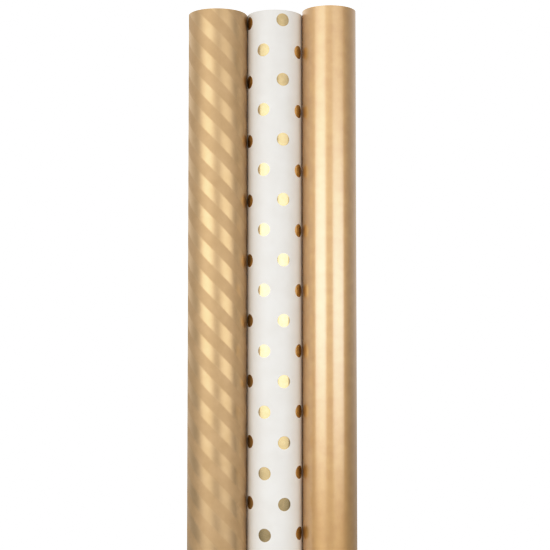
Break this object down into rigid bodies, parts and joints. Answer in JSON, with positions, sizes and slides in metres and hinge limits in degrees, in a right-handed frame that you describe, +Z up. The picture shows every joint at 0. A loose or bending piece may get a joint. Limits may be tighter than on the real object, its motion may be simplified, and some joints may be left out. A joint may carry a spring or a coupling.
{
  "type": "wrapping paper roll set",
  "caption": "Upright set of gift wrapping paper rolls, each a web wound on a cardboard core, whose windings turn and whose free ends uncurl.",
  "frame": {"origin": "on the standing surface, at the middle of the set's width and depth", "axes": "+Z up along the rolls; +X to the right, across the three rolls; +Y to the back, where the free ends of the paper lie"},
  "size_m": [0.1354, 0.05, 0.7645],
  "materials": {
    "stripe_foil_paper": "gold metallised foil paper with diagonal bands, gloss and matt in turn",
    "dot_print_paper": "white clay-coated paper with hot-stamped gold foil dots, satin",
    "satin_foil_paper": "plain gold metallised foil paper, satin",
    "core_board": "unbleached kraft core board, spirally wound and glued"
  },
  "bodies": {
    "middle_core": {"middle_core_inner_ply": "core_board", "middle_core_outer_ply": "core_board"},
    "middle_winding": {"middle_winding": "dot_print_paper"},
    "middle_tail_strip_1": {"middle_tail_strip_1": "dot_print_paper"},
    "middle_tail_strip_2": {"middle_tail_strip_2": "dot_print_paper"},
    "middle_tail_strip_3": {"middle_tail_strip_3": "dot_print_paper"},
    "middle_tail_strip_4": {"middle_tail_strip_4": "dot_print_paper"},
    "middle_tail_strip_5": {"middle_tail_strip_5": "dot_print_paper"},
    "middle_tail_strip_6": {"middle_tail_strip_6": "dot_print_paper"},
    "left_core": {"left_core_inner_ply": "core_board", "left_core_outer_ply": "core_board"},
    "left_winding": {"left_winding": "stripe_foil_paper"},
    "left_tail_strip_1": {"left_tail_strip_1": "stripe_foil_paper"},
    "left_tail_strip_2": {"left_tail_strip_2": "stripe_foil_paper"},
    "left_tail_strip_3": {"left_tail_strip_3": "stripe_foil_paper"},
    "left_tail_strip_4": {"left_tail_strip_4": "stripe_foil_paper"},
    "left_tail_strip_5": {"left_tail_strip_5": "stripe_foil_paper"},
    "left_tail_strip_6": {"left_tail_strip_6": "stripe_foil_paper"},
    "right_core": {"right_core_inner_ply": "core_board", "right_core_outer_ply": "core_board"},
    "right_winding": {"right_winding": "satin_foil_paper"},
    "right_tail_strip_1": {"right_tail_strip_1": "satin_foil_paper"},
    "right_tail_strip_2": {"right_tail_strip_2": "satin_foil_paper"},
    "right_tail_strip_3": {"right_tail_strip_3": "satin_foil_paper"},
    "right_tail_strip_4": {"right_tail_strip_4": "satin_foil_paper"},
    "right_tail_strip_5": {"right_tail_strip_5": "satin_foil_paper"},
    "right_tail_strip_6": {"right_tail_strip_6": "satin_foil_paper"}
  },
  "joints": [
    {"name": "middle_winding_turn", "type": "hinge", "parent": "middle_core", "child": "middle_winding", "pos_m": [0.0019, 0.00267, 0], "axis": [0, 0, 1], "continuous": true},
    {"name": "middle_tail_uncurl_1", "type": "hinge", "parent": "middle_winding", "child": "middle_tail_strip_1", "pos_m": [-0.01959, 0.00803, 0], "axis": [0, 0, 1], "range_deg": [0, 25]},
    {"name": "middle_tail_uncurl_2", "type": "hinge", "parent": "middle_tail_strip_1", "child": "middle_tail_strip_2", "pos_m": [-0.01531, 0.01661, 0], "axis": [0, 0, 1], "range_deg": [0, 25]},
    {"name": "middle_tail_uncurl_3", "type": "hinge", "parent": "middle_tail_strip_2", "child": "middle_tail_strip_3", "pos_m": [-0.00781, 0.02258, 0], "axis": [0, 0, 1], "range_deg": [0, 25]},
    {"name": "middle_tail_uncurl_4", "type": "hinge", "parent": "middle_tail_strip_3", "child": "middle_tail_strip_4", "pos_m": [0.00152, 0.02482, 0], "axis": [0, 0, 1], "range_deg": [0, 25]},
    {"name": "middle_tail_uncurl_5", "type": "hinge", "parent": "middle_tail_strip_4", "child": "middle_tail_strip_5", "pos_m": [0.01091, 0.02291, 0], "axis": [0, 0, 1], "range_deg": [0, 25]},
    {"name": "middle_tail_uncurl_6", "type": "hinge", "parent": "middle_tail_strip_5", "child": "middle_tail_strip_6", "pos_m": [0.01862, 0.01721, 0], "axis": [0, 0, 1], "range_deg": [0, 25]},
    {"name": "left_roll_apart", "type": "slide", "parent": "middle_core", "child": "left_core", "axis": [-1, 0, 0], "range_m": [0, 0.12]},
    {"name": "left_winding_turn", "type": "hinge", "parent": "left_core", "child": "left_winding", "pos_m": [-0.04403, -0.00133, 0], "axis": [0, 0, 1], "continuous": true},
    {"name": "left_tail_uncurl_1", "type": "hinge", "parent": "left_winding", "child": "left_tail_strip_1", "pos_m": [-0.06683, 0.00436, 0], "axis": [0, 0, 1], "range_deg": [0, 25]},
    {"name": "left_tail_uncurl_2", "type": "hinge", "parent": "left_tail_strip_1", "child": "left_tail_strip_2", "pos_m": [-0.0623, 0.01346, 0], "axis": [0, 0, 1], "range_deg": [0, 25]},
    {"name": "left_tail_uncurl_3", "type": "hinge", "parent": "left_tail_strip_2", "child": "left_tail_strip_3", "pos_m": [-0.05433, 0.0198, 0], "axis": [0, 0, 1], "range_deg": [0, 25]},
    {"name": "left_tail_uncurl_4", "type": "hinge", "parent": "left_tail_strip_3", "child": "left_tail_strip_4", "pos_m": [-0.04444, 0.02217, 0], "axis": [0, 0, 1], "range_deg": [0, 25]},
    {"name": "left_tail_uncurl_5", "type": "hinge", "parent": "left_tail_strip_4", "child": "left_tail_strip_5", "pos_m": [-0.03447, 0.02014, 0], "axis": [0, 0, 1], "range_deg": [0, 25]},
    {"name": "left_tail_uncurl_6", "type": "hinge", "parent": "left_tail_strip_5", "child": "left_tail_strip_6", "pos_m": [-0.0263, 0.01409, 0], "axis": [0, 0, 1], "range_deg": [0, 25]},
    {"name": "right_roll_apart", "type": "slide", "parent": "middle_core", "child": "right_core", "axis": [1, 0, 0], "range_m": [0, 0.12]},
    {"name": "right_winding_turn", "type": "hinge", "parent": "right_core", "child": "right_winding", "pos_m": [0.04593, -0.00133, 0], "axis": [0, 0, 1], "continuous": true},
    {"name": "right_tail_uncurl_1", "type": "hinge", "parent": "right_winding", "child": "right_tail_strip_1", "pos_m": [0.02497, 0.0039, 0], "axis": [0, 0, 1], "range_deg": [0, 25]},
    {"name": "right_tail_uncurl_2", "type": "hinge", "parent": "right_tail_strip_1", "child": "right_tail_strip_2", "pos_m": [0.02915, 0.01227, 0], "axis": [0, 0, 1], "range_deg": [0, 25]},
    {"name": "right_tail_uncurl_3", "type": "hinge", "parent": "right_tail_strip_2", "child": "right_tail_strip_3", "pos_m": [0.03646, 0.01809, 0], "axis": [0, 0, 1], "range_deg": [0, 25]},
    {"name": "right_tail_uncurl_4", "type": "hinge", "parent": "right_tail_strip_3", "child": "right_tail_strip_4", "pos_m": [0.04555, 0.02027, 0], "axis": [0, 0, 1], "range_deg": [0, 25]},
    {"name": "right_tail_uncurl_5", "type": "hinge", "parent": "right_tail_strip_4", "child": "right_tail_strip_5", "pos_m": [0.05472, 0.01841, 0], "axis": [0, 0, 1], "range_deg": [0, 25]},
    {"name": "right_tail_uncurl_6", "type": "hinge", "parent": "right_tail_strip_5", "child": "right_tail_strip_6", "pos_m": [0.06223, 0.01285, 0], "axis": [0, 0, 1], "range_deg": [0, 25]}
  ],
  "couplings": [
    {"joint": "middle_tail_uncurl_2", "follows": "middle_tail_uncurl_1", "ratio": 1},
    {"joint": "middle_tail_uncurl_3", "follows": "middle_tail_uncurl_1", "ratio": 1},
    {"joint": "middle_tail_uncurl_4", "follows": "middle_tail_uncurl_1", "ratio": 1},
    {"joint": "middle_tail_uncurl_5", "follows": "middle_tail_uncurl_1", "ratio": 1},
    {"joint": "middle_tail_uncurl_6", "follows": "middle_tail_uncurl_1", "ratio": 1},
    {"joint": "left_tail_uncurl_2", "follows": "left_tail_uncurl_1", "ratio": 1},
    {"joint": "left_tail_uncurl_3", "follows": "left_tail_uncurl_1", "ratio": 1},
    {"joint": "left_tail_uncurl_4", "follows": "left_tail_uncurl_1", "ratio": 1},
    {"joint": "left_tail_uncurl_5", "follows": "left_tail_uncurl_1", "ratio": 1},
    {"joint": "left_tail_uncurl_6", "follows": "left_tail_uncurl_1", "ratio": 1},
    {"joint": "right_tail_uncurl_2", "follows": "right_tail_uncurl_1", "ratio": 1},
    {"joint": "right_tail_uncurl_3", "follows": "right_tail_uncurl_1", "ratio": 1},
    {"joint": "right_tail_uncurl_4", "follows": "right_tail_uncurl_1", "ratio": 1},
    {"joint": "right_tail_uncurl_5", "follows": "right_tail_uncurl_1", "ratio": 1},
    {"joint": "right_tail_uncurl_6", "follows": "right_tail_uncurl_1", "ratio": 1}
  ]
}
